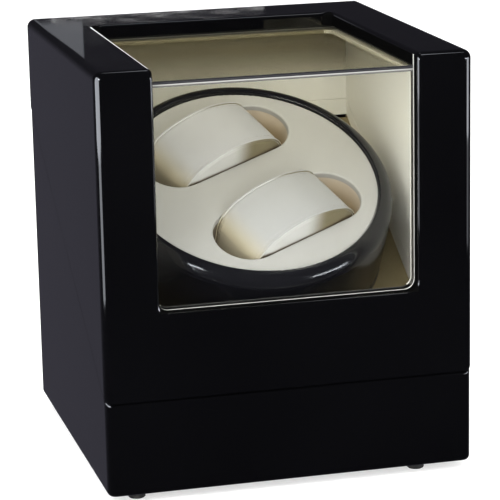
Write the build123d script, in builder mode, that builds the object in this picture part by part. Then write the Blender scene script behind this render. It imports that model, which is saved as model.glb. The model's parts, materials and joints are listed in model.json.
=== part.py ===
from build123d import *
from math import acos, cos, pi, radians, sin, tan
import os

# Watch winder box: a lacquered box with a slanted seam, a windowed lid and a tilted turntable.
#
# Frame: millimetres, +Z up, front towards -Y, origin under the middle of the whole box, on the floor.
# Heights "above the seam" run along the turntable's tilted axis, from the slanted seam plane.

# ---------------------------------------------------------------- driving dimensions
width = 175.0
depth = 175.0
body_height = 196.0
foot_height = 4.0
wall = 9.0
lining = 1.5
corner_radius = 4.0
bottom_radius = 2.5
base_inset = 0.3
tilt = 32.0
seam_front_z = 47.5
seam_gap = 0.4
seam_radius = 0.8

hinge_radius = 2.25
hinge_length = 28.0
hinge_x = 52.0
knuckle_count = 5
knuckle_gap = 0.3
leaf_thickness = 0.9
leaf_reach = 8.5
hinge_pin_radius = 1.0

window_half_width = 61.0
window_bottom_z = 89.0
window_back = 137.5
window_radius = 5.0
window_edge_radius = 2.0
pane_thickness = 2.5
pane_overlap = 4.0
pane_play = 0.2
lining_reveal = 0.3

deck_drop = 7.0
deck_thickness = 5.0
deck_play = 0.2
cleat_size = 8.0

drum_radius = 68.7
drum_wall = 2.5
drum_bottom = -5.5
drum_floor = 3.0
drum_joint = 2.0
spigot_top = 22.0
bezel_top = 38.0
bezel_radius = 6.5
bezel_lip = 0.8
face_radius = 61.2
face_top = 36.5
face_thickness = 3.0

well_turn = 24.9
well_offset = 28.0
well_length = 81.0
well_width = 32.6
well_edge = 0.8
cup_wall = 1.2
cup_play = 0.2
cup_depth = 22.0
cup_flange = 2.0

cushion_rise = 11.3
crown_radius = 50.0
crown_angle = 25.0
cushion_end_radius = 15.0
cushion_width = 31.0
cushion_edge = 4.0
cushion_play = 0.3

shaft_radius = 4.0
running_play = 0.04
shaft_bottom = -58.0
hub_radius = 12.0
hub_top = 8.0
housing_radius = 10.0
housing_flange_radius = 22.0
housing_flange = 4.0
housing_bottom = -40.0
bush_radius = 6.0
bush_length = 7.0

plate_top = -41.0
plate_thickness = 2.5
gear_module = 1.0
gear_teeth = 75
pinion_teeth = 15
gear_bottom = -53.0
gear_thickness = 6.0
motor_radius = 12.5

tray_width = 84.0
tray_height = 40.0
tray_z = 42.0
tray_depth = 12.0
tray_floor = 2.0
tray_rim = 4.0
tray_flange = 2.0
tray_wall = 1.5

# ---------------------------------------------------------------- frame worked out from them
total_height = foot_height + body_height
case_y = -hinge_radius / 2
front_y = case_y - depth / 2
back_y = case_y + depth / 2
inner_width = width - 2 * wall
inner_depth = depth - 2 * wall
inner_top_z = total_height - wall
window_back_y = front_y + window_back
sine = sin(radians(tilt))
cosine = cos(radians(tilt))


def seam_z(y):
    """Height of the slanted seam at a place y."""
    return seam_front_z + tan(radians(tilt)) * (y - front_y)


axis_y = case_y - 1.0
axis_point = (0, axis_y, seam_z(axis_y))
axis_direction = (0, -sine, cosine)
turntable_axis = Axis(axis_point, axis_direction)
# on the seam plane, y runs up the slope; the axial plane has the radius as x and the height as y
seam = Plane(origin=axis_point, x_dir=(1, 0, 0), z_dir=axis_direction)
seam_under = Plane(origin=axis_point, x_dir=(1, 0, 0), z_dir=(0, sine, -cosine))
axial = Plane(origin=axis_point, x_dir=(1, 0, 0), z_dir=(0, -cosine, -sine))
turn_cosine = cos(radians(well_turn))
turn_sine = sin(radians(well_turn))
wells = Plane(origin=axis_point, x_dir=(turn_cosine, turn_sine * cosine, turn_sine * sine),
              z_dir=axis_direction)
front = Plane(origin=(0, front_y, 0), x_dir=(1, 0, 0), z_dir=(0, -1, 0))
rear = Plane(origin=(0, back_y - base_inset, tray_z), x_dir=(-1, 0, 0), z_dir=(0, 1, 0))
deck_top = -deck_drop
deck_bottom = deck_top - deck_thickness
hinge_v = (back_y - axis_y) / cosine
centre = [(0, 0)]


def level(z):
    """Horizontal plane at a height z, facing up, centred on the case."""
    return Plane(origin=(0, case_y, z), x_dir=(1, 0, 0), z_dir=(0, 0, 1))


def underside(z):
    """Horizontal plane at a height z, facing down, centred on the case."""
    return Plane(origin=(0, case_y, z), x_dir=(1, 0, 0), z_dir=(0, 0, -1))


def mirrored(x, y):
    """The four points at plus and minus x and y."""
    return [(x, y), (-x, y), (x, -y), (-x, -y)]


def around(radius, count, start=0.0):
    """Points spaced evenly on a circle about the middle."""
    turns = [start + 2 * pi * k / count for k in range(count)]
    return [(radius * cos(turn), radius * sin(turn)) for turn in turns]


# ---------------------------------------------------------------- shared shapes
def discs(plane, points, radius, bore=0.0):
    """Round faces on a plane, one at each point, with an optional hole in each."""
    with BuildSketch(plane) as sketch:
        with Locations(*points):
            Circle(radius)
            if bore:
                Circle(bore, mode=Mode.SUBTRACT)
    return sketch.sketch


def rectangles(plane, points, x_size, y_size, radius=0.0):
    """Rectangular faces on a plane, one centred at each point, with optional corner rounding."""
    with BuildSketch(plane) as sketch:
        with Locations(*points):
            if radius:
                RectangleRounded(x_size, y_size, radius)
            else:
                Rectangle(x_size, y_size)
    return sketch.sketch


def slots(plane, points, length, height):
    """Stadium-shaped faces on a plane, one centred at each point."""
    with BuildSketch(plane) as sketch:
        with Locations(*points):
            SlotOverall(length, height)
    return sketch.sketch


def screws(plane, points, head_radius, head_height, shank_radius, shank_length):
    """Cross-head screws: heads stand on a plane, shanks run against its normal."""
    top = plane.offset(head_height)
    cross_long = 1.3 * head_radius
    cross_wide = 0.28 * head_radius
    with BuildPart() as piece:
        extrude(discs(plane, points, head_radius), amount=head_height)
        crowns = piece.faces().sort_by(Axis(plane.origin, plane.z_dir))[-len(points):]
        fillet(crowns.edges(), head_height * 0.35)
        extrude(discs(plane, points, shank_radius), amount=-shank_length)
        for x_size, y_size in ((cross_long, cross_wide), (cross_wide, cross_long)):
            extrude(rectangles(top, points, x_size, y_size), amount=-head_height * 0.5, mode=Mode.SUBTRACT)
    return piece


def posts(plane, points, radius, length, bore=0.0):
    """Round posts or tubes that stand on a plane."""
    with BuildPart() as piece:
        extrude(discs(plane, points, radius, bore), amount=length)
    return piece


def gear_face(plane, teeth, bore):
    """Spur gear outline with involute flanks, cut a little thin so that meshed teeth run free."""
    pitch = gear_module * teeth / 2
    base = pitch * cos(radians(20))
    tip = pitch + 0.85 * gear_module
    root = pitch - 1.1 * gear_module
    backlash = 0.1 * gear_module

    def involute(radius):
        angle = acos(min(1.0, base / radius))
        return tan(angle) - angle

    def half_tooth(radius):
        return pi / (2 * teeth) - backlash / pitch + involute(pitch) - involute(max(radius, base))

    flank = [root, max(base, root + 0.2), pitch - 0.3, pitch + 0.3, tip]
    outline = []
    for tooth in range(teeth):
        middle = 2 * pi * tooth / teeth
        rising = [(radius, middle - half_tooth(radius)) for radius in flank]
        falling = [(radius, middle + half_tooth(radius)) for radius in reversed(flank)]
        outline += [(radius * cos(angle), radius * sin(angle)) for radius, angle in rising + falling]
    with BuildSketch(plane) as sketch:
        with BuildLine():
            Polyline(*outline, close=True)
        make_face()
        Circle(bore, mode=Mode.SUBTRACT)
    return sketch.sketch


# ---------------------------------------------------------------- base: case, cover and feet
cover_thickness = 4.0
cover_rebate = 4.0
cover_screw_radius = 1.25
screw_hole_depth = 18.0
cover_screw_points = mirrored(75.5, 62.0)
block_size = 20.0
foot_radius = 4.0
foot_bore_radius = 2.4
foot_bore_depth = 2.0
# the front pair sits a little to the left of the rear pair
foot_points = [(-72.0, -76.0), (63.0, -76.0), (-68.0, 76.0), (68.0, 76.0)]
tray_screw_radius = 0.9
tray_screw_points = mirrored(tray_width / 2 - 2.2, tray_height / 2 - 2.2)
tray_opening = (tray_width - 2 * tray_rim, tray_height - 2 * tray_rim)
hinge_screw_u = [side * hinge_x + offset for side in (-1, 1) for offset in (-9, 9)]
hinge_screw_radius = 0.8
hinge_screw_v = hinge_v - 5.6
hinge_screw_length = 5.0
hinge_head = 0.5


def hinge_notches():
    """Barrel-shaped hollows along the hinge axis, for both hinges' knuckles."""
    clear_radius = hinge_radius + 0.35
    clear_length = hinge_length + 0.8
    with BuildPart() as piece:
        for side in (-1, 1):
            start = Plane(origin=(side * hinge_x - clear_length / 2, back_y, seam_z(back_y)),
                          x_dir=(0, 1, 0), z_dir=(1, 0, 0))
            extrude(discs(start, centre, clear_radius), amount=clear_length)
    return piece.part


def leaf_recesses(plane, v_sign):
    """Footprints of the two hinge leaves' recesses in a slanted rim."""
    reach = leaf_reach + 0.2 + 4
    points = [(u, v_sign * (hinge_v - leaf_reach - 0.2 + reach / 2)) for u in (-hinge_x, hinge_x)]
    return rectangles(plane, points, hinge_length + 0.4, reach)


rim = seam.offset(-seam_gap / 2)
lid_rim = seam_under.offset(-seam_gap / 2)
base_hinge_screw_points = [(u, hinge_screw_v) for u in hinge_screw_u]
lid_hinge_screw_points = [(u, -hinge_screw_v) for u in hinge_screw_u]

with BuildPart() as base_case:
    with BuildSketch(level(foot_height)):
        RectangleRounded(width - 2 * base_inset, depth - 2 * base_inset, corner_radius)
    extrude(amount=body_height)
    fillet(base_case.faces().sort_by(Axis.Z)[0].edges(), bottom_radius)
    split(bisect_by=rim, keep=Keep.BOTTOM)
    fillet(base_case.faces().sort_by(turntable_axis)[-1].edges(), seam_radius)
    extrude(rectangles(level(0), centre, inner_width, inner_depth), amount=total_height, mode=Mode.SUBTRACT)
    rebate = rectangles(level(0), centre, inner_width + 2 * cover_rebate, inner_depth + 2 * cover_rebate)
    extrude(rebate, amount=foot_height + cover_thickness, mode=Mode.SUBTRACT)
    # opening at the back for the control tray, with a shallow step for its flange
    extrude(rectangles(rear, centre, tray_opening[0] + 1, tray_opening[1] + 1, 3), amount=-2 * wall,
            mode=Mode.SUBTRACT)
    extrude(rectangles(rear, centre, tray_width + 0.4, tray_height + 0.4, 4), amount=-tray_flange,
            mode=Mode.SUBTRACT)
    extrude(discs(rear, tray_screw_points, tray_screw_radius), amount=-7.5, mode=Mode.SUBTRACT)
    # recesses for the hinge leaves and barrels, with the screws' holes
    extrude(leaf_recesses(rim, 1), amount=-leaf_thickness, mode=Mode.SUBTRACT)
    add(hinge_notches(), mode=Mode.SUBTRACT)
    extrude(discs(rim.offset(-hinge_head), base_hinge_screw_points, hinge_screw_radius),
            amount=-hinge_screw_length, mode=Mode.SUBTRACT)

with BuildPart() as glue_blocks:
    block_at = (inner_width - block_size) / 2
    extrude(rectangles(level(foot_height + cover_thickness), mirrored(block_at, block_at),
                       block_size, block_size), amount=block_size)
    extrude(discs(level(0), foot_points + cover_screw_points, cover_screw_radius), amount=screw_hole_depth,
            mode=Mode.SUBTRACT)

with BuildPart() as bottom_cover:
    cover_size = inner_width + 2 * cover_rebate - 0.6
    extrude(rectangles(level(foot_height), centre, cover_size, cover_size, 1), amount=cover_thickness)
    extrude(discs(level(0), foot_points + cover_screw_points, cover_screw_radius), amount=screw_hole_depth,
            mode=Mode.SUBTRACT)
    # air slits below the motor
    extrude(slots(level(0), [(x, 40) for x in range(-24, 25, 8)], 5, 3), amount=screw_hole_depth,
            mode=Mode.SUBTRACT)

with BuildPart() as feet:
    extrude(discs(level(0), foot_points, foot_radius, cover_screw_radius), amount=foot_height)
    foot_soles = feet.faces().sort_by(Axis.Z)[:len(foot_points)]
    chamfer(foot_soles.edges().group_by(SortBy.LENGTH)[-1], 0.4)
    extrude(discs(level(0), foot_points, foot_bore_radius), amount=foot_bore_depth, mode=Mode.SUBTRACT)

# seen from below, y runs the other way
foot_screw_points = [(x, -y) for x, y in foot_points]
foot_screws = screws(underside(foot_bore_depth), foot_screw_points, 2.1, 1.4, cover_screw_radius, 14)
cover_screws = screws(underside(foot_height), cover_screw_points, 2.4, 1.2, cover_screw_radius, 11)

# ---------------------------------------------------------------- base: lining, deck and cleats
with BuildPart() as base_lining:
    extrude(rectangles(level(0), centre, inner_width, inner_depth), amount=total_height)
    extrude(rectangles(level(0), centre, inner_width - 2 * lining, inner_depth - 2 * lining),
            amount=total_height, mode=Mode.SUBTRACT)
    split(bisect_by=rim, keep=Keep.BOTTOM)
    split(bisect_by=seam.offset(deck_top), keep=Keep.TOP)

deck_hole_radius = housing_radius + 0.3
housing_screw_radius = 1.25
housing_screw_points = around(17, 4, pi / 4)
plate_screw_radius = 1.5
plate_screw_points = [(-20, 18), (-20, -18), (63, 18), (63, -18)]

with BuildPart() as deck_panel:
    extrude(rectangles(seam.offset(deck_bottom), centre, 2 * width, 2 * depth), amount=deck_thickness)
    extrude(rectangles(level(0), centre, inner_width - 2 * deck_play, inner_depth - 2 * deck_play),
            amount=total_height, mode=Mode.INTERSECT)
    extrude(discs(seam, centre, deck_hole_radius), amount=-40, mode=Mode.SUBTRACT)
    extrude(discs(seam.offset(deck_bottom), housing_screw_points, housing_screw_radius), amount=3.5,
            mode=Mode.SUBTRACT)
    extrude(discs(seam.offset(deck_bottom), plate_screw_points, plate_screw_radius), amount=3.5,
            mode=Mode.SUBTRACT)
    # notch in the back right corner for the lead from the control tray
    extrude(rectangles(level(0), [(inner_width / 2 - 6, inner_depth / 2)], 9, 7), amount=total_height,
            mode=Mode.SUBTRACT)

with BuildPart() as deck_cleats:
    cleat_x = (inner_width - cleat_size) / 2
    extrude(rectangles(seam.offset(deck_bottom), [(-cleat_x, 0), (cleat_x, 0)], cleat_size, 2 * depth),
            amount=-cleat_size)
    extrude(rectangles(level(0), centre, inner_width, inner_depth), amount=total_height,
            mode=Mode.INTERSECT)

# ---------------------------------------------------------------- hinges
knuckle_length = (hinge_length - (knuckle_count - 1) * knuckle_gap) / knuckle_count
knuckle_step = knuckle_length + knuckle_gap


def hinge_leaves(plane, v_sign, knuckles, bore):
    """Both hinges' leaves on one rim: plates let into the rim, with their share of the knuckles."""
    plate_end = hinge_v - hinge_radius - 0.35
    plate_reach = plate_end - (hinge_v - leaf_reach)
    screw_points = [(u, v_sign * hinge_screw_v) for u in hinge_screw_u]
    with BuildPart() as piece:
        for side in (-1, 1):
            plate_point = (side * hinge_x, v_sign * (plate_end - plate_reach / 2))
            extrude(rectangles(plane, [plate_point], hinge_length, plate_reach), amount=-leaf_thickness)
            for index in knuckles:
                start_x = side * hinge_x - hinge_length / 2 + index * knuckle_step
                tongue_point = (start_x + knuckle_length / 2, v_sign * (hinge_v - 1.5))
                extrude(rectangles(plane, [tongue_point], knuckle_length, 3), amount=-leaf_thickness)
                start = Plane(origin=(start_x, back_y, seam_z(back_y)), x_dir=(0, 1, 0), z_dir=(1, 0, 0))
                extrude(discs(start, centre, hinge_radius), amount=knuckle_length)
        for side in (-1, 1):
            start = Plane(origin=(side * hinge_x - hinge_length, back_y, seam_z(back_y)),
                          x_dir=(0, 1, 0), z_dir=(1, 0, 0))
            extrude(discs(start, centre, bore), amount=2 * hinge_length, mode=Mode.SUBTRACT)
        extrude(discs(plane, screw_points, 1.5), amount=-hinge_head, mode=Mode.SUBTRACT)
        extrude(discs(plane, screw_points, hinge_screw_radius), amount=-leaf_thickness,
                mode=Mode.SUBTRACT)
    return piece


hinge_leaves_base = hinge_leaves(rim, 1, (0, 2, 4), hinge_pin_radius)
hinge_leaves_lid = hinge_leaves(lid_rim, -1, (1, 3), hinge_pin_radius + running_play)
hinge_screws_base = screws(rim.offset(-hinge_head), base_hinge_screw_points, 1.4, hinge_head,
                           hinge_screw_radius, hinge_screw_length)
hinge_screws_lid = screws(lid_rim.offset(-hinge_head), lid_hinge_screw_points, 1.4, hinge_head,
                          hinge_screw_radius, hinge_screw_length)

with BuildPart() as hinge_pins:
    for pin_side in (-1, 1):
        pin_start = Plane(origin=(pin_side * hinge_x - hinge_length / 2, back_y, seam_z(back_y)),
                          x_dir=(0, 1, 0), z_dir=(1, 0, 0))
        extrude(discs(pin_start, centre, hinge_pin_radius), amount=hinge_length)

# ---------------------------------------------------------------- turntable bearing, under the deck
bush_upper = deck_top - 0.5
with BuildPart() as bearing_housing:
    extrude(discs(seam.offset(housing_bottom), centre, housing_radius), amount=bush_upper - housing_bottom)
    extrude(discs(seam.offset(deck_bottom), centre, housing_flange_radius), amount=-housing_flange)
    extrude(discs(seam, centre, bush_radius), amount=-2 * width, mode=Mode.SUBTRACT)
    extrude(discs(seam.offset(deck_bottom), housing_screw_points, housing_screw_radius),
            amount=-housing_flange, mode=Mode.SUBTRACT)

housing_screws = screws(seam_under.offset(-deck_bottom + housing_flange),
                        [(x, -y) for x, y in housing_screw_points], 2.4, 1.5, housing_screw_radius, 7)

with BuildPart() as shaft_bushes:
    for bush_bottom in (bush_upper - bush_length, housing_bottom):
        extrude(discs(seam.offset(bush_bottom), centre, bush_radius, shaft_radius + running_play),
                amount=bush_length)

washer_gap = 0.3
thrust_washer = posts(seam.offset(bush_upper), centre, 9, drum_bottom - washer_gap - bush_upper,
                      shaft_radius + 0.2)

# ---------------------------------------------------------------- drive: plate, motor, gears
motor_u = gear_module * (gear_teeth + pinion_teeth) / 2
motor_centre = [(motor_u, 0)]
plate_bottom = plate_top - plate_thickness
plate_under = seam_under.offset(-plate_bottom)
motor_screw_radius = 1.0
motor_screw_points = [(motor_u, 8.7), (motor_u, -8.7)]
gearbox_height = 9.0
motor_can_height = 16.0
output_radius = 2.0
pinion_bottom = gear_bottom - 1
pinion_height = gear_thickness + 2

with BuildPart() as mechanism_plate:
    extrude(rectangles(seam.offset(plate_bottom), [(21.5, 0)], 94, 46, 6), amount=plate_thickness)
    extrude(discs(seam.offset(plate_bottom), centre, 7), amount=plate_thickness, mode=Mode.SUBTRACT)
    extrude(discs(seam.offset(plate_bottom), motor_centre, 5), amount=plate_thickness, mode=Mode.SUBTRACT)
    extrude(discs(seam.offset(plate_bottom), plate_screw_points, plate_screw_radius),
            amount=plate_thickness, mode=Mode.SUBTRACT)
    extrude(discs(seam.offset(plate_bottom), motor_screw_points, motor_screw_radius),
            amount=plate_thickness, mode=Mode.SUBTRACT)

plate_spacers = posts(seam.offset(plate_top), plate_screw_points, 3.5, deck_bottom - plate_top,
                      plate_screw_radius)
plate_screws = screws(plate_under, plate_screw_points, 2.8, 1.8, plate_screw_radius, 35)

with BuildPart() as motor_gearbox:
    extrude(discs(seam.offset(plate_top), motor_centre, motor_radius), amount=gearbox_height)
    extrude(discs(seam.offset(plate_top), motor_centre, output_radius + running_play), amount=6,
            mode=Mode.SUBTRACT)
    extrude(discs(seam.offset(plate_top), motor_screw_points, motor_screw_radius), amount=4,
            mode=Mode.SUBTRACT)

with BuildPart() as motor_can:
    can_plane = seam.offset(plate_top + gearbox_height)
    extrude(discs(can_plane, motor_centre, motor_radius - 0.4), amount=motor_can_height)
    fillet(motor_can.faces().sort_by(turntable_axis)[-1].edges(), 1.2)
    extrude(rectangles(can_plane.offset(motor_can_height), [(motor_u - 7, 0), (motor_u + 7, 0)], 0.6, 3),
            amount=2)

motor_screws = screws(plate_under, motor_screw_points, 1.9, 1.2, motor_screw_radius, 6)

motor_output_shaft = posts(seam.offset(pinion_bottom), motor_centre, output_radius,
                           plate_top + 5.5 - pinion_bottom)
with BuildPart() as pinion:
    pinion_plane = Plane(origin=seam.offset(pinion_bottom).from_local_coords((motor_u, 0, 0)),
                         x_dir=(1, 0, 0), z_dir=axis_direction)
    extrude(gear_face(pinion_plane, pinion_teeth, output_radius), amount=pinion_height)

flat_cut = 0.6
clip_radius = shaft_radius - flat_cut
clip_levels = (gear_bottom - 1.1, gear_bottom + gear_thickness + 0.3)
clip_thickness = 0.8

with BuildPart() as drive_gear:
    gear_plane = seam.offset(gear_bottom)
    extrude(gear_face(gear_plane, gear_teeth, shaft_radius), amount=gear_thickness)
    # driving flat in the bore, then a dished web with lightening holes
    extrude(rectangles(gear_plane, [(0, shaft_radius - flat_cut / 2)], 4.4, flat_cut),
            amount=gear_thickness)
    for web_plane, web_depth in ((gear_plane, 1.5), (gear_plane.offset(gear_thickness), -1.5)):
        extrude(discs(web_plane, centre, 32, 10), amount=web_depth, mode=Mode.SUBTRACT)
    extrude(discs(gear_plane, around(21, 6), 6.5), amount=gear_thickness, mode=Mode.SUBTRACT)

with BuildPart() as turntable_shaft:
    extrude(discs(seam.offset(shaft_bottom), centre, shaft_radius), amount=hub_top - 1 - shaft_bottom)
    chamfer(turntable_shaft.faces().sort_by(turntable_axis)[0].edges(), 0.5)
    extrude(rectangles(gear_plane, [(0, shaft_radius)], 4 * flat_cut + 3, 2 * flat_cut),
            amount=gear_thickness, mode=Mode.SUBTRACT)
    for clip_level in clip_levels:
        extrude(discs(seam.offset(clip_level), centre, 2 * shaft_radius, clip_radius),
                amount=clip_thickness, mode=Mode.SUBTRACT)
    extrude(discs(seam.offset(hub_top), centre, 1.6), amount=-14, mode=Mode.SUBTRACT)

with BuildPart() as shaft_clips:
    for clip_level in clip_levels:
        clip_plane = seam.offset(clip_level)
        extrude(discs(clip_plane, centre, 6.5, clip_radius), amount=clip_thickness)
        extrude(rectangles(clip_plane, [(0, -6)], 5, 8), amount=clip_thickness, mode=Mode.SUBTRACT)

# ---------------------------------------------------------------- turntable
with BuildPart() as drum_shell:
    extrude(discs(seam.offset(drum_bottom), centre, drum_radius), amount=drum_joint - drum_bottom)
    fillet(drum_shell.faces().sort_by(turntable_axis)[0].edges(), 2.5)
    extrude(discs(seam.offset(drum_joint), centre, drum_radius - drum_wall - 0.2),
            amount=spigot_top - drum_joint)
    extrude(discs(seam.offset(drum_bottom + drum_floor), centre, drum_radius - 2 * drum_wall - 0.2),
            amount=2 * spigot_top, mode=Mode.SUBTRACT)
    extrude(discs(seam.offset(drum_bottom + drum_floor), centre, hub_radius),
            amount=hub_top - drum_bottom - drum_floor)
    extrude(discs(seam.offset(drum_bottom), centre, shaft_radius), amount=2 * spigot_top,
            mode=Mode.SUBTRACT)

hub_washer = posts(seam.offset(hub_top), centre, 8, 1.0, 1.6)
hub_screw = screws(seam.offset(hub_top + 1.0), centre, 3.6, 2.2, 1.6, 12)

with BuildPart() as drum_bezel:
    outer_shoulder = bezel_top - bezel_radius
    lip_start = drum_radius - bezel_radius
    bore_radius = drum_radius - drum_wall
    ledge_top = face_top - face_thickness
    lip_bore = lip_start - bezel_lip
    with BuildSketch(axial):
        with BuildLine():
            outer_wall = Line((drum_radius, drum_joint), (drum_radius, outer_shoulder))
            outer_roll = RadiusArc(outer_wall @ 1, (lip_start, bezel_top), -bezel_radius)
            lip_roll = RadiusArc(outer_roll @ 1, (lip_bore, bezel_top - bezel_lip), -bezel_lip)
            Polyline(lip_roll @ 1, (lip_bore, ledge_top), (57, ledge_top), (57, ledge_top - 2.5),
                     (bore_radius - 3, ledge_top - 2.5), (bore_radius, ledge_top - 6),
                     (bore_radius, drum_joint), outer_wall @ 0)
        make_face()
    revolve(axis=turntable_axis)

well_points = [(0, -well_offset), (0, well_offset)]
with BuildPart() as face_plate:
    extrude(discs(seam.offset(ledge_top), centre, face_radius), amount=face_thickness)
    extrude(slots(wells.offset(ledge_top), well_points, well_length, well_width), amount=face_thickness,
            mode=Mode.SUBTRACT)
    fillet(face_plate.faces().sort_by(turntable_axis)[-1].edges(), well_edge)


def well_cup(v):
    """Open-topped stadium cup, hung by its flange under the face plate."""
    inner = (well_length + 2 * cup_play, well_width + 2 * cup_play)
    grow = 2 * cup_wall
    flange_grow = grow + 2 * cup_flange
    with BuildPart() as piece:
        bottom = wells.offset(face_top - cup_depth - cup_wall)
        extrude(slots(bottom, [(0, v)], inner[0] + grow, inner[1] + grow),
                amount=cup_depth + cup_wall - face_thickness)
        extrude(slots(wells.offset(ledge_top), [(0, v)], inner[0] + flange_grow, inner[1] + flange_grow),
                amount=-1.5)
        extrude(slots(wells.offset(face_top - cup_depth), [(0, v)], *inner), amount=2 * cup_depth,
                mode=Mode.SUBTRACT)
    return piece


well_cup_front = well_cup(-well_offset)
well_cup_rear = well_cup(well_offset)


def cushion(v):
    """Loaf-shaped watch cushion: an arched crown, rounder ends and a flat bottom."""
    crown_y = face_top + cushion_rise - crown_radius
    end_reach = crown_radius - cushion_end_radius
    end_x = end_reach * sin(radians(crown_angle))
    end_y = crown_y + end_reach * cos(radians(crown_angle))
    half_length = end_x + cushion_end_radius
    bottom_y = face_top - cup_depth + cushion_play
    profile = Plane(origin=wells.from_local_coords((0, v, 0)), x_dir=wells.x_dir, z_dir=-wells.y_dir)
    with BuildPart() as piece:
        with BuildSketch(profile) as outline:
            with BuildLine():
                CenterArc((end_x, end_y), cushion_end_radius, 0, 90 - crown_angle)
                CenterArc((0, crown_y), crown_radius, 90 - crown_angle, 2 * crown_angle)
                CenterArc((-end_x, end_y), cushion_end_radius, 90 + crown_angle, 90 - crown_angle)
                Polyline((-half_length, end_y), (-half_length, bottom_y), (half_length, bottom_y),
                         (half_length, end_y))
            make_face()
            fillet(outline.vertices().group_by(Axis.Y)[0], cushion_edge)
        extrude(amount=cushion_width / 2, both=True)
        across = Axis(profile.origin, profile.z_dir)
        sides = piece.faces().sort_by(across)
        fillet(sides[0].edges() + sides[-1].edges(), cushion_edge - 0.5)
    return piece


cushion_front = cushion(-well_offset)
cushion_rear = cushion(well_offset)

# ---------------------------------------------------------------- lid: frame, panes and lining
pane_recess = wall - pane_thickness


def window_cut(grow, top_amount, front_amount):
    """Window opening over the front and the top, as a solid to cut away."""
    half_width = window_half_width + grow
    low_z = window_bottom_z - grow
    far_y = window_back_y + grow
    beyond = 20
    with BuildPart() as piece:
        front_height = total_height + beyond - low_z
        extrude(rectangles(front, [(0, low_z + front_height / 2)], 2 * half_width, front_height,
                           window_radius), amount=-front_amount)
        top_length = far_y - front_y + beyond
        top_plane = Plane(origin=(0, far_y - top_length / 2, total_height + beyond))
        extrude(rectangles(top_plane, centre, 2 * half_width, top_length, window_radius),
                amount=-(beyond + top_amount))
    return piece.part


def on_window_rim(box):
    """True for the box of an outer edge of the window opening, on the top, the front or between them."""
    past = 0.01
    within = box.max.X < window_half_width + past and box.min.X > -window_half_width - past
    on_top = box.min.Z > total_height - past and box.max.Y < window_back_y + past
    on_front = box.max.Y < front_y + past and box.min.Z > window_bottom_z - past
    on_corner = box.min.Z > total_height - corner_radius - past and box.max.Y < front_y + corner_radius + past
    return within and (on_top or on_front or on_corner)


with BuildPart() as lid_frame:
    with BuildSketch(level(foot_height)):
        RectangleRounded(width, depth, corner_radius)
    extrude(amount=body_height)
    fillet(lid_frame.faces().sort_by(Axis.Z)[-1].edges(), corner_radius - 0.01)
    split(bisect_by=seam.offset(seam_gap / 2), keep=Keep.TOP)
    fillet(lid_frame.faces().sort_by(turntable_axis)[0].edges(), seam_radius)
    extrude(rectangles(level(0), centre, inner_width, inner_depth), amount=inner_top_z,
            mode=Mode.SUBTRACT)
    add(window_cut(0, wall, wall), mode=Mode.SUBTRACT)
    fillet([edge for edge in lid_frame.edges() if on_window_rim(edge.bounding_box())], window_edge_radius)
    # steps that the panes are set in from the inside
    rebate_width = 2 * (window_half_width + pane_overlap)
    front_step = front.offset(-pane_recess)
    front_low = window_bottom_z - pane_overlap
    front_high = inner_top_z + pane_thickness
    extrude(rectangles(front_step, [(0, (front_low + front_high) / 2)], rebate_width,
                       front_high - front_low), amount=-pane_thickness, mode=Mode.SUBTRACT)
    top_near = front_y + pane_recess
    top_far = window_back_y + pane_overlap
    extrude(rectangles(Plane.XY.offset(inner_top_z), [(0, (top_near + top_far) / 2)], rebate_width,
                       top_far - top_near), amount=pane_thickness, mode=Mode.SUBTRACT)
    extrude(leaf_recesses(lid_rim, -1), amount=-leaf_thickness, mode=Mode.SUBTRACT)
    add(hinge_notches(), mode=Mode.SUBTRACT)
    extrude(discs(lid_rim.offset(-hinge_head), lid_hinge_screw_points, hinge_screw_radius),
            amount=-hinge_screw_length, mode=Mode.SUBTRACT)

pane_width = rebate_width - 2 * pane_play
with BuildPart() as top_pane:
    near = top_near + pane_play
    far = top_far - pane_play
    extrude(rectangles(Plane.XY.offset(inner_top_z), [(0, (near + far) / 2)], pane_width, far - near),
            amount=pane_thickness)
    chamfer(top_pane.edges(), 0.2)

with BuildPart() as front_pane:
    low = front_low + pane_play
    high = inner_top_z - 0.05
    extrude(rectangles(front_step, [(0, (low + high) / 2)], pane_width, high - low),
            amount=-pane_thickness)
    chamfer(front_pane.edges(), 0.2)

with BuildPart() as lid_lining:
    extrude(rectangles(level(0), centre, inner_width, inner_depth), amount=inner_top_z)
    extrude(rectangles(level(0), centre, inner_width - 2 * lining, inner_depth - 2 * lining),
            amount=inner_top_z - lining, mode=Mode.SUBTRACT)
    split(bisect_by=seam.offset(seam_gap / 2), keep=Keep.TOP)
    add(window_cut(-lining_reveal, wall + lining, wall + lining), mode=Mode.SUBTRACT)

# ---------------------------------------------------------------- control board on the cover
board_plane = level(foot_height + cover_thickness)
board_centre = (0, -14)
board_size = (60, 40)
board_lift = 6.0
board_thickness = 1.6
board_posts = [(x + board_centre[0], y + board_centre[1]) for x, y in mirrored(26, 16)]
board_standoffs = posts(board_plane, board_posts, 2.5, board_lift, 1.0)

with BuildPart() as control_board:
    extrude(rectangles(board_plane.offset(board_lift), [board_centre], *board_size, 1.5),
            amount=board_thickness)
    extrude(discs(board_plane.offset(board_lift), board_posts, 1.0), amount=board_thickness,
            mode=Mode.SUBTRACT)

board_screws = screws(board_plane.offset(board_lift + board_thickness), board_posts, 1.9, 1.2, 1.0, 7)

with BuildPart() as board_parts:
    board_top = board_plane.offset(board_lift + board_thickness)
    extrude(rectangles(board_top, [(0, -16)], 12, 8), amount=2)
    extrude(rectangles(board_top, [(-14, -22), (-14, -8)], 8, 6), amount=5)
    extrude(rectangles(board_top, [(8, -2), (20, -2)], 9, 6), amount=7)
    extrude(discs(board_top, [(14, -20), (-3, -27)], 3.2), amount=9)

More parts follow.
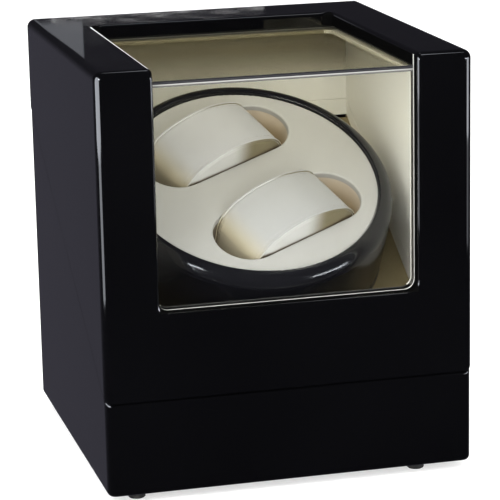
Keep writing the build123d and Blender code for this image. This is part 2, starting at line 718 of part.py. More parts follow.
# ---------------------------------------------------------------- control tray in the back wall
tray_base = rear.offset(-tray_depth)
dial_x = 25.0
slider_x = 4.0
rocker_x = -15.0
inlet_x = -30.0
dial_point = [(dial_x, 0)]
slider_point = [(slider_x, 0)]
rocker_point = [(rocker_x, 0)]
inlet_point = [(inlet_x, 0)]
dial_bush_radius = 3.5
dial_shaft_radius = 3.0
rocker_body = (13, 19)
rocker_opening = (11, 17)
slider_body = (20, 8)
slider_slot = (9, 4)
inlet_radius = 4.5
inlet_bore = 2.8

with BuildPart() as rear_tray:
    extrude(rectangles(rear, centre, tray_width, tray_height, 4), amount=-tray_flange)
    extrude(rectangles(rear, centre, *tray_opening, 3), amount=-(tray_depth + tray_floor))
    inner_opening = (tray_opening[0] - 2 * tray_wall, tray_opening[1] - 2 * tray_wall)
    extrude(rectangles(rear, centre, *inner_opening, 2), amount=-tray_depth, mode=Mode.SUBTRACT)
    extrude(discs(rear, tray_screw_points, tray_screw_radius), amount=-tray_flange, mode=Mode.SUBTRACT)
    extrude(discs(tray_base, dial_point, dial_bush_radius), amount=-tray_floor, mode=Mode.SUBTRACT)
    extrude(rectangles(tray_base, rocker_point, *rocker_body), amount=-tray_floor, mode=Mode.SUBTRACT)
    extrude(rectangles(tray_base, slider_point, *slider_body), amount=-tray_floor, mode=Mode.SUBTRACT)
    extrude(discs(tray_base, inlet_point, inlet_radius), amount=-tray_floor, mode=Mode.SUBTRACT)

tray_screws = screws(rear, tray_screw_points, 1.5, 0.8, tray_screw_radius, 7)

with BuildPart() as dc_inlet:
    extrude(discs(tray_base.offset(1.5), inlet_point, inlet_radius), amount=-(1.5 + tray_floor))
    extrude(rectangles(tray_base.offset(-tray_floor), inlet_point, 9, 11), amount=-9)
    extrude(discs(tray_base.offset(1.5), inlet_point, inlet_bore), amount=-9.5, mode=Mode.SUBTRACT)
    extrude(discs(tray_base.offset(-8), inlet_point, 1.0), amount=8)

with BuildPart() as rocker_housing:
    extrude(rectangles(tray_base, rocker_point, 15, 21, 1), amount=1.5)
    extrude(rectangles(tray_base, rocker_point, *rocker_body), amount=-12)
    extrude(rectangles(tray_base.offset(1.5), rocker_point, *rocker_opening), amount=-9,
            mode=Mode.SUBTRACT)

with BuildPart() as power_rocker:
    rocker_rest = radians(8)
    rocker_side = Plane(origin=tray_base.from_local_coords((rocker_x, 0, 0)),
                        x_dir=(0, -sin(rocker_rest), cos(rocker_rest)), z_dir=(1, 0, 0))
    with BuildSketch(rocker_side):
        with BuildLine():
            Polyline((-7.8, -3.4), (0, -2.0), (7.8, -3.4), (7.8, 1), (3, 5), (-3, 5), (-7.8, 1), close=True)
        make_face()
    extrude(amount=5.2, both=True)

with BuildPart() as slide_switch:
    extrude(rectangles(tray_base, slider_point, 22, 9, 1), amount=1)
    extrude(rectangles(tray_base, slider_point, *slider_body), amount=-8)
    extrude(rectangles(tray_base.offset(1), slider_point, *slider_slot), amount=-4, mode=Mode.SUBTRACT)

with BuildPart() as direction_slider:
    extrude(rectangles(tray_base.offset(-2.7), slider_point, 3.6, 3.4), amount=7.2)
    slider_top = direction_slider.faces().sort_by(Axis.Y)[-1]
    fillet(slider_top.edges(), 0.4)

with BuildPart() as dial_potentiometer:
    extrude(discs(tray_base.offset(-tray_floor), dial_point, 8), amount=-8)
    extrude(discs(tray_base.offset(-tray_floor), dial_point, dial_bush_radius), amount=tray_floor + 2.5)
    with BuildSketch(tray_base):
        with Locations((dial_x, 0)):
            RegularPolygon(5.8, 6)
    extrude(amount=2)
    extrude(discs(tray_base.offset(3), dial_point, dial_shaft_radius + running_play), amount=-9.5,
            mode=Mode.SUBTRACT)

dial_shaft = posts(tray_base.offset(-6), dial_point, dial_shaft_radius, 14)
with BuildPart() as program_dial:
    extrude(discs(tray_base.offset(3), dial_point, 7.5), amount=8)
    fillet(program_dial.faces().sort_by(Axis.Y)[-1].edges(), 0.8)
    extrude(discs(tray_base.offset(3), [(dial_x + x, y) for x, y in around(8.0, 18)], 0.9), amount=8,
            mode=Mode.SUBTRACT)
    extrude(rectangles(tray_base.offset(11), [(dial_x, 4.4)], 1.2, 4), amount=-0.5, mode=Mode.SUBTRACT)
    extrude(discs(tray_base.offset(3), dial_point, dial_shaft_radius), amount=5, mode=Mode.SUBTRACT)

# ---------------------------------------------------------------- one STEP file for each node
nodes = {
    "base_case": base_case, "glue_blocks": glue_blocks, "bottom_cover": bottom_cover, "feet": feet,
    "foot_screws": foot_screws, "cover_screws": cover_screws, "base_lining": base_lining,
    "deck_panel": deck_panel, "deck_cleats": deck_cleats, "hinge_leaves_base": hinge_leaves_base,
    "hinge_leaves_lid": hinge_leaves_lid, "hinge_screws_base": hinge_screws_base,
    "hinge_screws_lid": hinge_screws_lid, "hinge_pins": hinge_pins, "bearing_housing": bearing_housing,
    "housing_screws": housing_screws, "shaft_bushes": shaft_bushes, "thrust_washer": thrust_washer,
    "mechanism_plate": mechanism_plate, "plate_spacers": plate_spacers, "plate_screws": plate_screws,
    "motor_gearbox": motor_gearbox, "motor_can": motor_can, "motor_screws": motor_screws,
    "motor_output_shaft": motor_output_shaft, "pinion": pinion, "drive_gear": drive_gear,
    "turntable_shaft": turntable_shaft, "shaft_clips": shaft_clips, "drum_shell": drum_shell,
    "hub_washer": hub_washer, "hub_screw": hub_screw, "drum_bezel": drum_bezel,
    "face_plate": face_plate, "well_cup_front": well_cup_front, "well_cup_rear": well_cup_rear,
    "cushion_front": cushion_front, "cushion_rear": cushion_rear, "lid_frame": lid_frame,
    "top_pane": top_pane, "front_pane": front_pane, "lid_lining": lid_lining,
    "board_standoffs": board_standoffs, "control_board": control_board, "board_screws": board_screws,
    "board_parts": board_parts, "rear_tray": rear_tray, "tray_screws": tray_screws,
    "dc_inlet": dc_inlet, "rocker_housing": rocker_housing, "power_rocker": power_rocker,
    "slide_switch": slide_switch, "direction_slider": direction_slider,
    "dial_potentiometer": dial_potentiometer, "dial_shaft": dial_shaft, "program_dial": program_dial,
}

os.makedirs("parts", exist_ok=True)
for node_name, node in nodes.items():
    node.part.label = node_name
    export_step(node.part, f"parts/{node_name}.step")
print(len(nodes), "nodes written")
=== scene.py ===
import json
from math import cos, hypot, pi, radians, sin

import bmesh
import bpy
from mathutils import Matrix, Vector


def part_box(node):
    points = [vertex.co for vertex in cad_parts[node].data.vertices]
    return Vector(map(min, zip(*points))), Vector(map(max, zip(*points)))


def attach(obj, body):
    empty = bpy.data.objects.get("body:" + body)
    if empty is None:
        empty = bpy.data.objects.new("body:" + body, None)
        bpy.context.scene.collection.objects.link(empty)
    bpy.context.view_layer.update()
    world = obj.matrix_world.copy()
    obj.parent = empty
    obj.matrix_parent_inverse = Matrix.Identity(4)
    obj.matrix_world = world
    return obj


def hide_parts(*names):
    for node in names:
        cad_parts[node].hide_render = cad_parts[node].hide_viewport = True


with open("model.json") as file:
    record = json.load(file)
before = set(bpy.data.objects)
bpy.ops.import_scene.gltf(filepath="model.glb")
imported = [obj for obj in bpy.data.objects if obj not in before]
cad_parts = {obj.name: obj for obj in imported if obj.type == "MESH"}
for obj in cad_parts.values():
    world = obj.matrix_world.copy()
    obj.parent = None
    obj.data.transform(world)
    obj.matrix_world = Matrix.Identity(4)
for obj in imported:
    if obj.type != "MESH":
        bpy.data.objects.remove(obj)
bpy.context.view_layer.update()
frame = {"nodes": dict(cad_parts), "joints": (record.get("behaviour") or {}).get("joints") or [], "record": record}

MM = 0.001
nodes = frame["nodes"]
joints = {joint["name"]: joint for joint in frame["joints"]}

# ------------------------------------------------------------------ camera
CAMERA_AT = (-0.28613, -1.12410, 0.37867)
CAMERA_TURN = radians(14.478)
CAMERA_DIP = radians(13.838)
CAMERA_ROLL = radians(-1.1725)
CAMERA_LENS = 176.0


def make_camera():
    """The camera stands in front, to the left and above, and looks at the box from far away."""
    ahead = cos(CAMERA_DIP)
    forward = Vector((sin(CAMERA_TURN) * ahead, cos(CAMERA_TURN) * ahead, -sin(CAMERA_DIP)))
    level_right = forward.cross(Vector((0, 0, 1))).normalized()
    level_up = level_right.cross(forward)
    right = cos(CAMERA_ROLL) * level_right + sin(CAMERA_ROLL) * level_up
    up = cos(CAMERA_ROLL) * level_up - sin(CAMERA_ROLL) * level_right
    data = bpy.data.cameras.new("camera")
    data.lens = CAMERA_LENS
    data.sensor_width = 36.0
    data.clip_start = 0.05
    camera = bpy.data.objects.new("camera", data)
    bpy.context.scene.collection.objects.link(camera)
    turn = Matrix((right, up, -forward)).transposed()
    camera.matrix_world = Matrix.Translation(CAMERA_AT) @ turn.to_4x4()
    bpy.context.scene.camera = camera


make_camera()


# ------------------------------------------------------------------ the turntable's own directions
spin = joints["turntable_spin"]
HUB = Vector(spin["pos_m"])
AXIS = Vector(spin["axis"]).normalized()
WELL_TURN = radians(24.9)
ALONG = Matrix.Rotation(WELL_TURN, 3, AXIS) @ Vector((1, 0, 0))
ACROSS = AXIS.cross(ALONG)
WELL_OFFSET = 28.0 * MM
FACE_TOP = 36.5 * MM


def well_point(along, across, height):
    """A point given along the wells, across them and above the seam."""
    return HUB + along * ALONG + across * ACROSS + height * AXIS


# ------------------------------------------------------------------ materials
class Look:
    """A procedural material around one Principled shader, with its textures in the object's own metres."""

    def __init__(self, name, roughness=0.5, **sockets):
        self.material = bpy.data.materials.new(name)
        self.material.use_nodes = True
        self.tree = self.material.node_tree
        self.shader = self.tree.nodes["Principled BSDF"]
        self.shader.inputs["Roughness"].default_value = roughness
        for socket, value in sockets.items():
            self.shader.inputs[socket.replace("_", " ")].default_value = value
        self.place = self.tree.nodes.new("ShaderNodeTexCoord").outputs["Object"]
        self.height = None

    def node(self, kind, output, settings=None, **inputs):
        """A new node with its settings and inputs given by name. Returns one of its outputs."""
        made = self.tree.nodes.new(kind)
        for key, value in (settings or {}).items():
            setattr(made, key, value)
        for key, value in inputs.items():
            self.feed(made.inputs[key.replace("_", " ")], value)
        return made.outputs[output]

    def feed(self, socket, value):
        """Gives a socket its value, or links it to another node's output."""
        if isinstance(value, bpy.types.NodeSocket):
            self.tree.links.new(value, socket)
        else:
            socket.default_value = value

    def stretched(self, x, y, z):
        """The object's own metres, scaled apart along each axis."""
        return self.node("ShaderNodeMapping", "Vector", Vector=self.place, Scale=(x, y, z))

    def noise(self, size, detail=3.0, roughness=0.5, place=None):
        """Soft noise whose features are about size metres across."""
        return self.node("ShaderNodeTexNoise", "Fac", Vector=place or self.place, Scale=1 / size,
                         Detail=detail, Roughness=roughness, Distortion=0.0)

    def cells(self, size, feature="F1"):
        """Voronoi cells about size metres across."""
        return self.node("ShaderNodeTexVoronoi", "Distance", {"feature": feature}, Vector=self.place,
                         Scale=1 / size, Randomness=1.0)

    def spread(self, value, low, high, out_low=0.0, out_high=1.0, curve="SMOOTHSTEP"):
        """The value from low to high, stretched to the outer range and held there."""
        return self.node("ShaderNodeMapRange", "Result", {"interpolation_type": curve}, Value=value,
                         From_Min=low, From_Max=high, To_Min=out_low, To_Max=out_high)

    def maths(self, operation, a, b=0.0):
        """The result of one sum on two values."""
        made = self.tree.nodes.new("ShaderNodeMath")
        made.operation = operation
        self.feed(made.inputs[0], a)
        self.feed(made.inputs[1], b)
        return made.outputs[0]

    def blended(self, factor, first, second):
        """A colour between two, each given as a triple or a socket."""
        made = self.tree.nodes.new("ShaderNodeMix")
        made.data_type = "RGBA"
        self.feed(made.inputs["Factor"], factor)
        for socket, colour in ((made.inputs[6], first), (made.inputs[7], second)):
            self.feed(socket, colour if isinstance(colour, bpy.types.NodeSocket) else (*colour, 1.0))
        return made.outputs[2]

    def colour(self, value):
        """Sets the surface's colour."""
        self.feed(self.shader.inputs["Base Color"], value)

    def rough(self, value):
        """Sets the surface's roughness."""
        self.feed(self.shader.inputs["Roughness"], value)

    def along(self, direction, normal=False):
        """How far a point lies from the hub along a direction, or how far its normal leans that way."""
        made = self.tree.nodes.new("ShaderNodeVectorMath")
        made.operation = "DOT_PRODUCT"
        self.feed(made.inputs[0], self.node("ShaderNodeTexCoord", "Normal") if normal else self.place)
        made.inputs[1].default_value = direction
        return self.maths("SUBTRACT", made.outputs["Value"], 0.0 if normal else HUB.dot(direction))

    def below_face(self):
        """How far a point lies below the turntable's face, in metres."""
        return self.maths("SUBTRACT", FACE_TOP, self.along(AXIS))

    def coordinates(self, place=None):
        """The three coordinates of the place, or of another vector."""
        parts = self.tree.nodes.new("ShaderNodeSeparateXYZ")
        self.feed(parts.inputs[0], place or self.place)
        return parts.outputs

    def steps(self, value, stops):
        """A colour picked from (place from 0 to 1, colour) stops, blended in between."""
        made = self.tree.nodes.new("ShaderNodeValToRGB")
        self.feed(made.inputs[0], value)
        elements = made.color_ramp.elements
        elements[0].color = (*stops[0][1], 1.0)
        elements[1].color = (*stops[-1][1], 1.0)
        for at, colour in stops[1:-1]:
            elements.new(at).color = (*colour, 1.0)
        return made.outputs["Color"]

    def raise_by(self, value, depth):
        """Adds a relief of depth metres, driven by a value from 0 to 1."""
        relief = self.maths("MULTIPLY", value, depth)
        self.height = relief if self.height is None else self.maths("ADD", self.height, relief)

    def overlay(self, factor, second):
        """Show a second shader wherever the factor is 1."""
        surface = self.tree.nodes["Material Output"].inputs["Surface"]
        mixed = self.tree.nodes.new("ShaderNodeMixShader")
        self.feed(mixed.inputs[0], factor)
        self.feed(mixed.inputs[1], self.shader.outputs["BSDF"])
        self.feed(mixed.inputs[2], second)
        self.feed(surface, mixed.outputs["Shader"])

    def done(self):
        """The finished material, with its relief joined on."""
        if self.height is not None:
            normal = self.node("ShaderNodeBump", "Normal", Strength=1.0, Distance=1.0, Height=self.height)
            self.feed(self.shader.inputs["Normal"], normal)
        return self.material


def lacquer_look(name):
    """Deep black piano lacquer with a faint orange peel and polishing haze."""
    look = Look(name, 0.06, IOR=1.62)
    cloud = look.noise(0.09, 2.0)
    look.colour(look.blended(cloud, (0.0008, 0.0008, 0.0010), (0.0016, 0.0016, 0.0020)))
    haze = look.noise(0.012, 5.0, 0.6)
    look.rough(look.spread(haze, 0.3, 0.8, 0.035, 0.085))
    look.raise_by(look.noise(0.006, 2.0), 0.000010)
    return look


def lid_lacquer_look():
    """The lid's lacquer: polished like the base's, with dull primer left inside the window opening, and a painted
    highlight line across its sill.
    """
    look = lacquer_look("lid_lacquer")
    x, y, z = look.coordinates()
    across = look.maths("ABSOLUTE", x)
    within = look.maths("LESS_THAN", across, WINDOW_HALF + SLACK)
    above = look.maths("GREATER_THAN", z, WINDOW_LOW - SLACK)
    ahead = look.maths("LESS_THAN", y, WINDOW_FAR - SLACK)
    reveal = look.maths("MULTIPLY", within, look.maths("MULTIPLY", above, ahead))
    brushed = look.noise(0.0009, 4.0, 0.6, look.stretched(1, 1, 5))
    primer = look.blended(brushed, (0.0008, 0.0008, 0.0008), (0.003, 0.003, 0.003))
    # painted highlight: a pale line across the sill, just in front of the front pane
    painted_highlight_line = look.spread(y, PANE_FRONT - 1.3 * MM, PANE_FRONT - 0.9 * MM)
    past_pane = look.maths("LESS_THAN", y, PANE_FRONT + 0.2 * MM)
    tone = look.blended(look.maths("MULTIPLY", painted_highlight_line, past_pane), primer, (0.42, 0.42, 0.40))
    look.overlay(reveal, look.node("ShaderNodeBsdfDiffuse", "BSDF", Color=tone))
    return look


def satin_cover_look():
    """Black painted fibreboard: satin, with the fibres just showing."""
    look = Look("satin_cover", 0.45)
    fibres = look.noise(0.0012, 6.0, 0.7)
    look.colour(look.blended(fibres, (0.012, 0.012, 0.013), (0.028, 0.028, 0.030)))
    look.rough(look.spread(fibres, 0.3, 0.7, 0.38, 0.6))
    look.raise_by(fibres, 0.00006)
    return look.done()


def leatherette_look(name, light, dark, grain, depth, roughness=0.55, shades=None):
    """Coated cloth: rounded grain cells, fine pores and a slow drift of tone.

    shades is a function of the look and its colour, which returns the colour with its own shading added.
    """
    look = Look(name, roughness, Sheen_Weight=0.12, Sheen_Roughness=0.45)
    look.shader.inputs["Specular IOR Level"].default_value = 0.35
    cells = look.spread(look.cells(grain), 0.0, 0.75, 1.0, 0.0)
    pores = look.noise(grain * 0.35, 4.0, 0.65)
    drift = look.noise(0.03, 3.0, 0.55)
    tone = look.maths("ADD", look.maths("MULTIPLY", drift, 0.75), look.maths("MULTIPLY", cells, 0.25))
    colour = look.blended(tone, dark, light)
    look.colour(shades(look, colour) if shades else colour)
    look.rough(look.spread(cells, 0.0, 1.0, roughness + 0.1, roughness - 0.06))
    look.raise_by(cells, depth)
    look.raise_by(pores, depth * 0.5)
    return look.done()


def cup_shades(look, colour):
    """Painted shade: the wells get browner and darker towards their floors, and darker still at the end hidden
    from light.
    """
    deep = look.spread(look.below_face(), 3 * MM, 18 * MM)
    hidden = look.spread(look.along(ALONG), -27 * MM, -20 * MM, 1.0, 0.0)
    return look.blended(hidden, look.blended(deep, colour, (0.42, 0.33, 0.21)), (0.12, 0.085, 0.045))


def cushion_shades(look, colour):
    """Painted shade: yellowish where the band goes down into the well, darker low on the side panels and towards
    their ends, and darkest along the crease where they meet the face.
    """
    below = look.below_face()
    on_side = look.spread(look.maths("ABSOLUTE", look.along(ACROSS, normal=True)), 0.6, 0.9)
    # painted shade: yellowish where the band goes down into the well
    painted_shade_low = look.blended(look.spread(below, -7 * MM, 5 * MM), colour, (0.50, 0.44, 0.31))
    towards_end = look.spread(look.along(ALONG), -3 * MM, 11 * MM)
    # painted shade: the side panels darken towards the cushion's end
    side = look.blended(towards_end, (0.54, 0.535, 0.515), (0.18, 0.152, 0.085))
    # painted shade: a dark line low on the side panels, where they meet the face
    painted_crease_shade = look.blended(look.spread(below, -1.2 * MM, 0.8 * MM), side, (0.10, 0.07, 0.035))
    return look.blended(on_side, painted_shade_low, painted_crease_shade)


def lid_lining_shades(look, colour):
    """A yellowish painted shadow high on the back wall and painted shade along the roof's edge, bare board where
    it meets the front pane, and near-black painted shade along the sill.
    """
    y, z = look.coordinates()[1:]
    low_corner, high_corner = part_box("lid_lining")
    # painted shadow of the top rail, yellowish, high on the back wall
    high = look.maths("MULTIPLY", look.spread(z, 160 * MM, 180 * MM),
                      look.maths("GREATER_THAN", y, high_corner.y - LINING_DEPTH))
    painted_shadow_high = look.blended(high, colour, (0.40, 0.36, 0.245))
    # painted shade along the roof's front edge, seen through the top pane
    roof_edge = look.maths("MULTIPLY", look.maths("GREATER_THAN", z, high_corner.z - LINING_DEPTH),
                           look.maths("GREATER_THAN", y, WINDOW_FAR - 0.6 * MM))
    painted_shade_roof = look.blended(roof_edge, painted_shadow_high, (0.27, 0.245, 0.175))
    board = look.blended(look.maths("LESS_THAN", y, low_corner.y + 0.15 * MM), painted_shade_roof, (0.055, 0.050, 0.042))
    # painted shade: near black along the sill
    sill = look.maths("MULTIPLY", look.maths("LESS_THAN", z, WINDOW_LOW + 1.2 * MM),
                      look.maths("LESS_THAN", y, low_corner.y + LINING_DEPTH))
    return look.blended(sill, board, (0.006, 0.0055, 0.005))


def drum_look(name, smooth, rough, ior):
    """Black moulding with a trace of blue and very fine wipe marks."""
    look = Look(name, smooth, IOR=ior)
    cloud = look.noise(0.05, 2.0)
    look.colour(look.blended(cloud, (0.0045, 0.0045, 0.0062), (0.0070, 0.0070, 0.0090)))
    wiped = look.noise(0.004, 4.0, 0.6, look.stretched(1, 1, 6))
    look.rough(look.spread(wiped, 0.3, 0.75, smooth, rough))
    look.raise_by(look.noise(0.008, 2.0), 0.000012)
    return look.done()


def pane_look(name, tint, clearer, flat_axis, bond_z):
    """Clear acrylic sheet: what is behind shows through, and the surface mirrors by its angle.

    The sheet lies across flat_axis, and its edges are banded upwards from the height bond_z.
    """
    look = Look(name, 0.03)
    tree = look.tree
    tree.nodes.remove(look.shader)
    clear = tree.nodes.new("ShaderNodeBsdfTransparent")
    smear = look.noise(0.02, 4.0, 0.6)
    look.feed(clear.inputs["Color"], look.blended(smear, tint, clearer))
    gloss = tree.nodes.new("ShaderNodeBsdfGlossy")
    look.feed(gloss.inputs["Color"], look.blended(smear, (0.9, 0.9, 0.92), (1.0, 1.0, 1.0)))
    look.feed(gloss.inputs["Roughness"], look.spread(smear, 0.3, 0.8, 0.02, 0.05))
    facing = look.node("ShaderNodeLayerWeight", "Facing", Blend=0.5)
    mirrored = look.maths("MULTIPLY", look.maths("POWER", facing, 5.0), 0.55)
    sheet = tree.nodes.new("ShaderNodeMixShader")
    look.feed(sheet.inputs["Fac"], look.maths("ADD", mirrored, 0.03))
    look.feed(sheet.inputs[1], clear.outputs[0])
    look.feed(sheet.inputs[2], gloss.outputs[0])
    # the sawn edge, with painted reflection and painted highlights: dark, with a painted pale line along its
    # middle, a painted bright band near where it is bonded and grey at the bond itself
    edge = tree.nodes.new("ShaderNodeBsdfPrincipled")
    edge.inputs["Roughness"].default_value = 0.12
    height = look.spread(look.coordinates()[2], bond_z, bond_z + PANE_EDGE, curve="LINEAR")
    lowest_band, painted_highlight_fade, painted_bright_band = (0.07, 0.07, 0.065), (0.12, 0.12, 0.115), (0.26, 0.26, 0.25)
    dark, painted_pale_line = (0.014, 0.014, 0.016), (0.045, 0.045, 0.048)
    look.feed(edge.inputs["Base Color"], look.steps(height, (
        (0.0, lowest_band), (0.06, painted_highlight_fade), (0.20, painted_highlight_fade), (0.26, painted_bright_band), (0.38, painted_bright_band), (0.44, dark),
        (0.62, dark), (0.68, painted_pale_line), (0.74, dark), (1.0, dark))))
    across = look.maths("ABSOLUTE", look.coordinates(look.node("ShaderNodeTexCoord", "Normal"))[flat_axis])
    mix = tree.nodes.new("ShaderNodeMixShader")
    look.feed(mix.inputs["Fac"], look.maths("LESS_THAN", across, 0.9))
    look.feed(mix.inputs[1], sheet.outputs[0])
    look.feed(mix.inputs[2], edge.outputs[0])
    look.feed(tree.nodes["Material Output"].inputs["Surface"], mix.outputs[0])
    return look.material


def rubber_look():
    """Moulded rubber: matt, slightly dusty and finely pitted."""
    look = Look("rubber", 0.8)
    dust = look.noise(0.003, 5.0, 0.65)
    look.colour(look.blended(look.spread(dust, 0.4, 0.8), (0.012, 0.012, 0.012), (0.045, 0.043, 0.040)))
    look.rough(look.spread(dust, 0.3, 0.7, 0.7, 0.92))
    look.raise_by(look.noise(0.0005, 3.0), 0.00004)
    return look.done()


def metal_look(name, colour, dull, roughness, brushed=(1, 1, 1), size=0.0006, depth=0.000008):
    """Bare or plated metal with tool marks along one axis and slightly uneven polish."""
    look = Look(name, roughness, Metallic=1.0)
    marks = look.noise(size, 5.0, 0.7, look.stretched(*brushed))
    cloud = look.noise(0.006, 3.0)
    look.colour(look.blended(cloud, dull, colour))
    look.rough(look.spread(marks, 0.25, 0.75, roughness * 0.75, min(1.0, roughness * 1.4)))
    look.raise_by(marks, depth)
    return look.done()


def moulded_look(name, colour, second, roughness, size, depth):
    """Moulded plastic with an even spark texture and a slow drift of tone."""
    look = Look(name, roughness)
    spark = look.cells(size)
    drift = look.noise(0.01, 3.0)
    look.colour(look.blended(drift, colour, second))
    look.rough(look.spread(spark, 0.0, 0.8, roughness - 0.08, roughness + 0.1))
    look.raise_by(spark, depth)
    return look.done()


def timber_look():
    """Bare planed pine: long grain lines with soft, wavy growth rings."""
    look = Look("timber", 0.6)
    rings = look.node("ShaderNodeTexWave", "Fac", Vector=look.stretched(14, 1, 1), Scale=30.0,
                      Distortion=4.0, Detail=3.0, Detail_Scale=1.5)
    fibre = look.noise(0.0015, 5.0, 0.7, look.stretched(1, 12, 1))
    tone = look.maths("ADD", look.maths("MULTIPLY", rings, 0.6), look.maths("MULTIPLY", fibre, 0.4))
    look.colour(look.blended(tone, (0.62, 0.42, 0.22), (0.40, 0.24, 0.11)))
    look.rough(look.spread(fibre, 0.3, 0.7, 0.5, 0.72))
    look.raise_by(fibre, 0.00005)
    return look.done()


def board_look():
    """Circuit board: green mask over copper tracks, which stand up a little and look paler."""
    look = Look("circuit_board", 0.35)
    tracks = look.node("ShaderNodeTexBrick", "Fac", Vector=look.place, Scale=110.0, Mortar_Size=0.012)
    bends = look.cells(0.006, "DISTANCE_TO_EDGE")
    lines = look.spread(bends, 0.02, 0.05, 1.0, 0.0)
    copper = look.maths("MAXIMUM", look.maths("MULTIPLY", tracks, 0.6), lines)
    look.colour(look.blended(copper, (0.010, 0.075, 0.028), (0.035, 0.20, 0.075)))
    look.rough(look.spread(copper, 0.0, 1.0, 0.42, 0.28))
    look.raise_by(copper, 0.00004)
    return look.done()


# the panes, the window opening and the lid's lining, as the CAD has them
PANE_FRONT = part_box("front_pane")[0].y
PANE_EDGE = 2.5 * MM
WINDOW_HALF = 61.0 * MM
WINDOW_LOW = 89.0 * MM
WINDOW_FAR = 48.9 * MM
SLACK = 0.1 * MM
LINING_DEPTH = 1.7 * MM
BEIGE = (0.84, 0.83, 0.785)
BEIGE_DARK = (0.80, 0.785, 0.725)
looks = {
    "lacquer": lacquer_look("lacquer").done(),
    "lid_frame": lid_lacquer_look().done(),
    "top_pane": pane_look("acrylic_top", (0.83, 0.815, 0.74), (0.87, 0.855, 0.78), "Z",
                          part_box("top_pane")[0].z),
    "front_pane": pane_look("acrylic_front", (0.94, 0.945, 0.94), (0.97, 0.975, 0.965), "Y",
                            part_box("front_pane")[1].z - 0.2 * MM),
    "lining": leatherette_look("lining_leatherette", BEIGE, BEIGE_DARK, 0.0010, 0.000014),
    "lid_lining": leatherette_look("lid_lining_leatherette", BEIGE, BEIGE_DARK, 0.0010, 0.000014,
                                   shades=lid_lining_shades),
    # painted shade: the deck's beige leatherette is given a dark olive brown for the shade it lies in
    "deck_panel": leatherette_look("deck_painted_shade_leatherette", (0.24, 0.195, 0.105), (0.19, 0.152, 0.08),
                                   0.0010, 0.000014),
    "face": leatherette_look("face_leatherette", (0.352, 0.347, 0.337), (0.328, 0.322, 0.305),
                             0.0008, 0.000004, 0.5),
    # painted light: the two cushions are one leatherette, and the rear one's copy is made lighter than the front
    # one's
    "cushion_front": leatherette_look("cushion_front_leatherette", (0.325, 0.325, 0.324), (0.302, 0.301, 0.296),
                                      0.0007, 0.000003, 0.46, cushion_shades),
    "cushion_rear": leatherette_look("cushion_rear_painted_light_leatherette", (0.378, 0.377, 0.39), (0.350, 0.348, 0.354),
                                     0.0007, 0.000003, 0.46, cushion_shades),
    "cup": leatherette_look("cup_leatherette", (0.58, 0.50, 0.405), (0.52, 0.435, 0.335),
                            0.0009, 0.00003, 0.7, cup_shades),
    "drum": drum_look("drum_gloss", 0.11, 0.18, 1.56),
    "drum_shell": drum_look("drum_satin", 0.28, 0.40, 1.42),
    "cover": satin_cover_look(),
    "timber": timber_look(),
    "rubber": rubber_look(),
    "steel": metal_look("machined_steel", (0.62, 0.62, 0.64), (0.50, 0.50, 0.52), 0.3, (1, 1, 8)),
    "screw": metal_look("blackened_steel", (0.09, 0.09, 0.095), (0.05, 0.05, 0.055), 0.42),
    "hinge": metal_look("nickel_plate", (0.74, 0.72, 0.69), (0.66, 0.64, 0.61), 0.2, (1, 8, 8)),
    "bronze": metal_look("sintered_bronze", (0.56, 0.36, 0.16), (0.42, 0.25, 0.10), 0.45, size=0.0003,
                         depth=0.00002),
    "gear": moulded_look("acetal", (0.80, 0.78, 0.72), (0.74, 0.72, 0.65), 0.42, 0.0004, 0.000010),
    "nylon": moulded_look("nylon", (0.66, 0.63, 0.55), (0.58, 0.55, 0.47), 0.55, 0.0005, 0.00002),
    "motor": metal_look("zinc_plate", (0.50, 0.51, 0.54), (0.38, 0.39, 0.42), 0.38, (8, 1, 1)),
    "board": board_look(),
    "components": moulded_look("component_black", (0.012, 0.012, 0.013), (0.022, 0.022, 0.024), 0.5, 0.0004,
                               0.00002),
    "tray": moulded_look("tray_texture", (0.030, 0.030, 0.032), (0.044, 0.044, 0.047), 0.55, 0.0007, 0.00005),
    "control": moulded_look("control_gloss", (0.080, 0.080, 0.084), (0.105, 0.105, 0.110), 0.28, 0.0006,
                            0.000008),
}


def dress_nodes():
    """Gives each CAD node a look of its own, or else the look of its material slot."""
    slot_of = {row["node"]: row["material_slot"] for row in frame["record"]["subparts"]}
    for name, obj in nodes.items():
        obj.data.materials.clear()
        obj.data.materials.append(looks.get(name) or looks[slot_of[name]])


dress_nodes()


# ------------------------------------------------------------------ cushions
CROWN_RISE = 11.0 * MM
CROWN_RADIUS = 50.0 * MM
CROWN_HALF_ANGLE = radians(25.0)
END_RADIUS = 15.0 * MM
CUSHION_WIDTH = 31.0 * MM
CUSHION_BOTTOM = 14.9 * MM
CORNER_RADIUS = 4.0 * MM
EDGE_RADIUS = 2.2 * MM
ARC_STEP = 1.0 * MM
BAND_SWELL = 0.45 * MM
BELLY = 0.55 * MM
CREASE_DEPTH = 0.5 * MM
CREASES_FROM = 14 * MM
CREASES_SPAN = 12 * MM
PIPING_RADIUS = 0.6 * MM
PIPING_INSET = 0.6 * MM
PIPING_SINK = 0.12 * MM
STITCH_INSET = 2.9 * MM
STITCH_LIFT = 0.22 * MM


def arc(centre, radius, start, turn):
    """Points and outward directions along an arc, about ARC_STEP apart, without its last point."""
    count = max(2, round(radius * abs(turn) / ARC_STEP))
    found = []
    for k in range(count):
        angle = start + turn * k / count
        outward = (cos(angle), sin(angle))
        found.append(((centre[0] + radius * outward[0], centre[1] + radius * outward[1]), outward))
    return found


def run(start, end, outward):
    """Points along a straight stretch, about ARC_STEP apart, without its last point."""
    count = max(1, round(hypot(end[0] - start[0], end[1] - start[1]) / ARC_STEP))
    step = ((end[0] - start[0]) / count, (end[1] - start[1]) / count)
    return [((start[0] + step[0] * k, start[1] + step[1] * k), outward) for k in range(count)]


